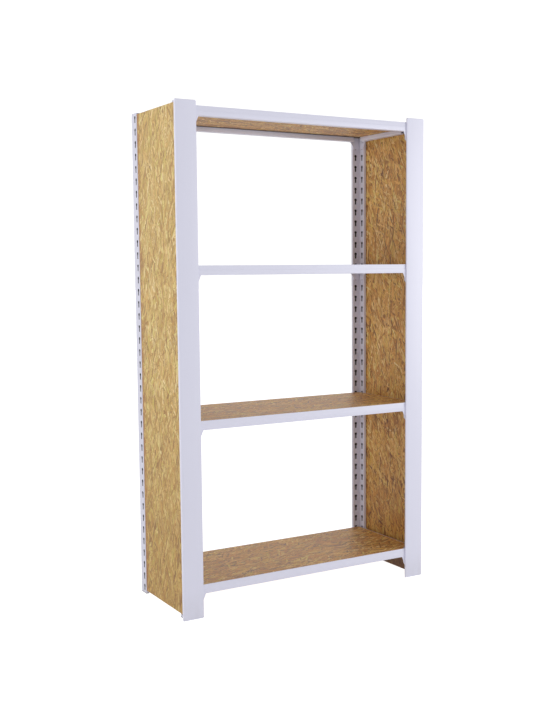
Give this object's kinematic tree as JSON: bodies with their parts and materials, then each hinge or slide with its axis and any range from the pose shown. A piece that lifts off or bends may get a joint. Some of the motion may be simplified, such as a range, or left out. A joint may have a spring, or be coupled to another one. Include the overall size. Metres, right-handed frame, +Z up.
{
  "type": "gondola shelving unit",
  "caption": "Open retail shelving bay: slotted hollow steel posts, step beams, drop-in strand board shelves, strand board end panels and pressed sheet covers over the front posts.",
  "frame": {"origin": "floor level under the middle of the unit", "axes": "+Z up, -Y toward the open front with the covers, +X to the right seen from the front"},
  "size_m": [1.167, 0.455, 2],
  "materials": {
    "post_paint": "pale grey powder coat, satin",
    "beam_paint": "white powder coat, satin",
    "cover_paint": "white powder coat, satin",
    "strand_board": "oriented strand board, sanded, clear sealed",
    "zinc_steel": "zinc plated",
    "foot_plastic": "moulded, matte"
  },
  "bodies": {
    "frame": {"post_front_left": "post_paint", "foot_front_left": "foot_plastic", "post_front_right": "post_paint", "foot_front_right": "foot_plastic", "post_rear_left": "post_paint", "foot_rear_left": "foot_plastic", "post_rear_right": "post_paint", "foot_rear_right": "foot_plastic", "beam_front_1": "beam_paint", "beam_front_2": "beam_paint", "beam_front_3": "beam_paint", "beam_front_4": "beam_paint", "beam_rear_1": "beam_paint", "beam_rear_2": "beam_paint", "beam_rear_3": "beam_paint", "beam_rear_4": "beam_paint", "beam_left_1": "beam_paint", "beam_left_2": "beam_paint", "beam_left_3": "beam_paint", "beam_left_4": "beam_paint", "beam_right_1": "beam_paint", "beam_right_2": "beam_paint", "beam_right_3": "beam_paint", "beam_right_4": "beam_paint", "panel_left": "strand_board", "cover_left": "cover_paint", "standoff_left_1": "zinc_steel", "standoff_left_2": "zinc_steel", "standoff_left_3": "zinc_steel", "standoff_left_4": "zinc_steel", "clip_left_1": "zinc_steel", "clip_left_2": "zinc_steel", "clip_left_3": "zinc_steel", "panel_right": "strand_board", "cover_right": "cover_paint", "standoff_right_1": "zinc_steel", "standoff_right_2": "zinc_steel", "standoff_right_3": "zinc_steel", "standoff_right_4": "zinc_steel", "clip_right_1": "zinc_steel", "clip_right_2": "zinc_steel", "clip_right_3": "zinc_steel"},
    "shelf_1": {"board_1": "strand_board"},
    "shelf_2": {"board_2": "strand_board"},
    "shelf_3": {"board_3": "strand_board"},
    "shelf_4": {"board_4": "strand_board"}
  },
  "joints": [
    {"name": "shelf_1_lift", "type": "slide", "parent": "frame", "child": "shelf_1", "axis": [0, 0, 1], "range_m": [0, 0.1]},
    {"name": "shelf_2_lift", "type": "slide", "parent": "frame", "child": "shelf_2", "axis": [0, 0, 1], "range_m": [0, 0.1]},
    {"name": "shelf_3_lift", "type": "slide", "parent": "frame", "child": "shelf_3", "axis": [0, 0, 1], "range_m": [0, 0.1]},
    {"name": "shelf_4_lift", "type": "slide", "parent": "frame", "child": "shelf_4", "axis": [0, 0, 1], "range_m": [0, 0.1]}
  ]
}
